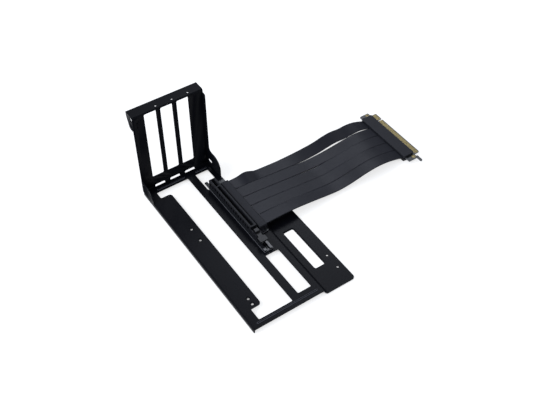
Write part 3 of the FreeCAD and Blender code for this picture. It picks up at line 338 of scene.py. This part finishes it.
# Painted shade: the floors of the slot's cells get the near-black nylon, and the feet get the polished one.
for polygon in housing.polygons:
    depth = abs(polygon.center.y - SLOT_MIDDLE)
    if polygon.center.x > FEET_START:
        polygon.material_index = 1
    elif abs(polygon.normal.y) > 0.9 and abs(depth - CELL_FLOOR) < 0.1 * MM:
        polygon.material_index = 2

KEPT = {
    "insulating_film": insulating_film, "slot_contacts_left": painted_shade_bronze, "slot_contacts_right": painted_shade_bronze,
    "edge_contacts_upper": gold_plate, "edge_contacts_lower": gold_plate, "ear_eyelets": gold_plate,
}
for node, material in KEPT.items():
    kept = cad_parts[node]
    kept.data.materials.clear()
    kept.data.materials.append(material)
    pieces[node] = kept

# %% [markdown]
# ## Screw heads
# A small screw is driven by a cross pressed into its head. The head's flat face is taken out and a ring of
# eight points is set in its place. Every second point is drawn in, which makes the cross, the ring is bridged
# to the head's rim, and a copy of it goes down and in, as the driver's tip does.

# %% Screw heads
CROSS_REACH, CROSS_WAIST, CROSS_DEPTH, CROSS_TAPER = 1.15, 0.36, 0.7, 0.55


def cross_recess(shape, head):
    """Press a tapered cross into a flat face of a bmesh."""
    middle, down = head.calc_center_median(), head.normal * (-CROSS_DEPTH * MM)
    rim = head.edges[:]
    bmesh.ops.delete(shape, geom=[head], context="FACES_ONLY")
    ring = bmesh.ops.create_circle(
        shape, cap_ends=False, segments=8, radius=CROSS_REACH * MM, matrix=Matrix.Translation(middle))["verts"]
    bmesh.ops.scale(shape, verts=ring[::2], vec=(CROSS_WAIST, CROSS_WAIST, 1), space=Matrix.Translation(-middle))
    sides = list({edge for vertex in ring for edge in vertex.link_edges})
    bmesh.ops.bridge_loops(shape, edges=rim + sides)
    made = bmesh.ops.extrude_edge_only(shape, edges=sides)["geom"]
    floor_ring = [item for item in made if isinstance(item, bmesh.types.BMVert)]
    floor_sides = [item for item in made if isinstance(item, bmesh.types.BMEdge)]
    bmesh.ops.scale(shape, verts=floor_ring, vec=(CROSS_TAPER, CROSS_TAPER, 1), space=Matrix.Translation(-middle))
    bmesh.ops.translate(shape, verts=floor_ring, vec=down)
    bmesh.ops.edgeloop_fill(shape, edges=floor_sides)


for node in ("board_screw", "cover_screws"):
    shape = merged(node)
    flat = [face for face in shape.faces if abs(face.normal.z) > 0.99 and len(face.verts) > 8]
    facing = 1 if node == "board_screw" else -1
    top = max(facing * face.calc_center_median().z for face in flat)
    heads = [face for face in flat if facing * face.calc_center_median().z > top - 0.01 * MM]
    for head in heads:
        cross_recess(shape, head)
    bmesh.ops.recalc_face_normals(shape, faces=shape.faces[:])
    pieces[node] = finish_piece(f"{node}_finished", shape, black_zinc, "frame", [node])
    print(node, "heads:", len(heads), "faces:", len(pieces[node].data.polygons))

# %% [markdown]
# ## Ribbon strips
# The five strips leave the riser's cover, sag over the plate's edge to the surface and rise again over a
# loose hump before the connector. Each follows a smooth spline through the routed points, and its flat
# section with rounded edges is drawn along the points that Blender gives for that spline.

# %% Ribbon routes
STRIP_WIDTH, STRIP_THICK = 15.8 * MM, 1.2 * MM
STRIP_X = [-0.05655, -0.04035, -0.02415, -0.00795, 0.00825]
COVER_RIGHT = 0.02355
# Each point is the distance from the riser's cover, the height of the strip's lower face at its middle, and how
# much higher its rear edge lies than its front edge, in millimetres.
ROUTES = [
    [(0, 11.9, 0), (7.7, 11.4, 1.0), (14.7, 11.8, 2.6), (20.7, 13.2, 5.0), (27.7, 11.4, 3.0), (35.7, 8.6, 0),
     (51.7, 7.4, 0), (67.7, 6.2, 0.4), (85.7, 5.4, 2.4), (103.7, 5.6, 4.0), (123.7, 7.2, 4.4), (136.7, 10.4, 5.6), (148.7, 11.8, 5.8),
     (160.7, 10.0, 5.0), (172.7, 11.2, 4.6), (188.7, 9.8, 1.4), (201.7, 4.4, 0)],
    [(0, 11.8, 0), (18.7, 10.9, 0.2), (39.7, 8.8, 0.2), (61.7, 6.6, 0.2), (83.7, 4.5, 0.2), (103.7, 2.8, 0), (123.7, 3.6, 0),
     (143.7, 5.2, 0.6), (163.7, 7.8, 1.0), (183.7, 8.6, 0.6), (201.7, 4.4, 0)],
    [(0, 11.8, 0), (18.7, 11.0, 0), (39.7, 8.8, 0), (61.7, 6.6, 0), (83.7, 4.3, 0), (103.7, 2.3, 0), (123.7, 4.4, 0),
     (143.7, 6.4, 0), (163.7, 8.6, 0), (183.7, 8.3, 0), (201.7, 4.4, 0)],
    [(0, 11.8, 0), (18.7, 11.2, 0), (39.7, 9.4, 0), (61.7, 7.3, 0), (83.7, 4.8, 0), (103.7, 3.1, 0), (123.7, 5.2, 0),
     (143.7, 8.4, -0.8), (163.7, 10.2, -0.8), (183.7, 8.4, -0.4), (201.7, 4.4, 0)],
    [(0, 11.8, 0), (18.7, 12.2, -0.6), (39.7, 11.3, -1.2), (61.7, 8.9, -1.2), (83.7, 5.9, -1.0), (103.7, 3.8, -0.6),
     (123.7, 5.6, -0.8), (143.7, 9.8, -1.2), (163.7, 11.7, -1.2), (183.7, 9.4, -1.0), (201.7, 4.4, 0)],
]


def spline_points(route):
    """Points along the smooth spline that has the route's points as its control points."""
    curve = bpy.data.curves.new("route", "CURVE")
    curve.dimensions = "3D"
    curve.resolution_u = 14
    spline = curve.splines.new("NURBS")
    spline.points.add(len(route) - 1)
    for point, place in zip(spline.points, route):
        point.co = (*place, 1.0)
    spline.order_u = 3
    spline.use_endpoint_u = True
    holder = bpy.data.objects.new("route", curve)
    line = bpy.data.meshes.new_from_object(holder)
    points = [vertex.co.copy() for vertex in line.vertices]
    bpy.data.meshes.remove(line)
    bpy.data.objects.remove(holder)
    bpy.data.curves.remove(curve)
    return points


def lean_at(route, y):
    """How much higher the rear edge lies at that y, between the route's own points."""
    reach = (y - COVER_RIGHT) / MM
    for (start, _, first), (end, _, last) in zip(route, route[1:]):
        if reach <= end:
            return (first + (last - first) * (reach - start) / (end - start)) * MM
    return 0.0


def strip_mesh(points, leans):
    """Sweep a flat section with rounded edges along the points, leaning to the side as given."""
    shape = bmesh.new()
    half = STRIP_THICK / 2
    corners = bmesh.ops.create_grid(shape, x_segments=1, y_segments=1, size=0.5)["verts"]
    bmesh.ops.scale(shape, verts=corners, vec=(STRIP_WIDTH, STRIP_THICK, 1))
    bmesh.ops.bevel(
        shape, geom=corners, offset=half * 0.9, offset_type="OFFSET", segments=4, profile=0.5, affect="VERTICES",
        clamp_overlap=True, material=-1)
    face = shape.faces[:][0]
    section = [vertex.co.copy() for vertex in face.verts]
    for index, (point, lean) in enumerate(zip(points, leans)):
        if index:
            made = bmesh.ops.extrude_face_region(shape, geom=[face], use_keep_orig=index == 1)["geom"]
            face = [item for item in made if isinstance(item, bmesh.types.BMFace)][0]
        run = points[min(index + 1, len(points) - 1)] - points[max(index - 1, 0)]
        roll = math.asin(lean / STRIP_WIDTH)
        up = Vector((0, -run.z, run.y)).normalized()
        across = Vector((math.cos(roll), 0, 0)) - up * math.sin(roll)
        above = up * math.cos(roll) + Vector((math.sin(roll), 0, 0))
        inward = Vector(((1 - math.cos(roll)) * STRIP_WIDTH / 2, 0, 0))
        for vertex, place in zip(face.verts, section):
            vertex.co = point + inward + across * place.x + above * place.y
    bmesh.ops.recalc_face_normals(shape, faces=shape.faces[:])
    return shape


for index, (x, route) in enumerate(zip(STRIP_X, ROUTES), start=1):
    control = [(x, COVER_RIGHT + reach * MM, z * MM + STRIP_THICK / 2) for reach, z, _ in route]
    line = spline_points(control)
    leans = [lean_at(route, point.y) for point in line]
    length = sum((after - before).length for before, after in zip(line, line[1:]))
    node = f"ribbon_strip_{index}"
    strip = finish_piece(f"{node}_finished", strip_mesh(line, leans), ribbon_jacket, "frame", [node])
    pieces[node] = strip
    print(node, f"length {length:.4f} m, points {len(line)}, faces {len(strip.data.polygons)}")

# %% [markdown]
# ## Studio
# The photograph has a plain white ground. The floor is matte white, and part of what the camera and the
# reflections see of it is its own glow, so it stays white while it keeps a soft shadow. The glow fades where
# the object hems the floor in, which is painted shade under and beside it. The sky is pale at the horizon and
# dimmer overhead, which is what keeps black parts black, and a large soft lamp stands on the left.

# %% Floor
FLOOR_GLOW = 0.72
floor_white, tree, shader, place = new_material("white_paper", {"Roughness": 0.9, "Specular IOR Level": 0.0})
fibre = add_node(tree, "ShaderNodeTexNoise", {"Vector": place, "Scale": per_mm(4.0), "Detail": 2.0})
tone = add_node(tree, "ShaderNodeMix", {
    MIX: fibre.outputs["Fac"], FIRST: linear("#bababa"), SECOND: linear("#bdbdbd")}, data_type="RGBA")
tree.links.new(tone.outputs[MIXED], shader.inputs["Base Color"])
ray = add_node(tree, "ShaderNodeLightPath")
seen = add_node(tree, "ShaderNodeMath", {0: ray.outputs["Is Camera Ray"], 1: ray.outputs["Is Glossy Ray"]},
                operation="MAXIMUM")
seen = add_node(tree, "ShaderNodeMath", {0: seen.outputs[0], 1: ray.outputs["Is Transmission Ray"]},
                operation="MAXIMUM")
# Painted shade: the glow is scaled by ambient occlusion, so the floor darkens under and beside the object beyond its
# real shadow.
openness = add_node(tree, "ShaderNodeAmbientOcclusion", {"Distance": 15.0 * MM}).outputs["AO"]
glow_painted_shade = add_node(tree, "ShaderNodeMapRange", {"Value": openness, "From Min": 0.06, "From Max": 0.24})
share = add_node(tree, "ShaderNodeMath", {0: seen.outputs[0], 1: glow_painted_shade.outputs["Result"]}, operation="MULTIPLY")
share = add_node(tree, "ShaderNodeMath", {0: share.outputs[0], 1: FLOOR_GLOW}, operation="MULTIPLY")
glow = add_node(tree, "ShaderNodeEmission", {"Color": linear("#ffffff"), "Strength": share.outputs[0]})
both = add_node(tree, "ShaderNodeAddShader", {0: shader.outputs["BSDF"], 1: glow.outputs["Emission"]})
tree.links.new(both.outputs["Shader"], tree.nodes["Material Output"].inputs["Surface"])

shape = bmesh.new()
bmesh.ops.create_grid(shape, x_segments=1, y_segments=1, size=30.0)
bmesh.ops.translate(shape, verts=shape.verts, vec=(0, 0, -0.2 * MM))
floor_mesh = bpy.data.meshes.new("floor")
shape.to_mesh(floor_mesh)
shape.free()
floor_mesh.materials.append(floor_white)
floor = bpy.data.objects.new("floor", floor_mesh)
scene.collection.objects.link(floor)

# %% Sky and lamp
world = bpy.data.worlds.new("studio")
scene.world = world
world.use_nodes = True
tree = world.node_tree
direction = add_node(tree, "ShaderNodeTexCoord").outputs["Generated"]
height = add_node(tree, "ShaderNodeSeparateXYZ", {"Vector": direction}).outputs["Z"]
rise = add_node(tree, "ShaderNodeMapRange", {"Value": height, "From Min": 0.52, "From Max": 0.68}).outputs["Result"]
fall = add_node(tree, "ShaderNodeMapRange", {"Value": height, "From Min": 0.94, "From Max": 0.8}).outputs["Result"]
band = add_node(tree, "ShaderNodeMath", {0: rise, 1: fall}, operation="MULTIPLY").outputs[0]
sky = add_node(tree, "ShaderNodeMix", {MIX: band, FIRST: linear("#64676e"), SECOND: linear("#f6faff")},
               data_type="RGBA")
background = tree.nodes["Background"]
tree.links.new(sky.outputs[MIXED], background.inputs["Color"])
background.inputs["Strength"].default_value = 1.0


def soft_lamp(name, place, size, power):
    """A square lamp that faces the object."""
    data = bpy.data.lights.new(name, "AREA")
    data.shape = "SQUARE"
    data.size = size
    data.energy = power
    data.color = linear("#eef3ff")[:3]
    lamp = bpy.data.objects.new(name, data)
    scene.collection.objects.link(lamp)
    lamp.location = place
    lamp.rotation_mode = "QUATERNION"
    lamp.rotation_quaternion = (-Vector(place)).to_track_quat("-Z", "Y")
    return lamp


soft_lamp("left_lamp", (-0.2, -1.3, 1.1), 1.2, 18.0)
soft_lamp("back_lamp", (-0.85, 0.76, 1.2), 0.5, 4.0)
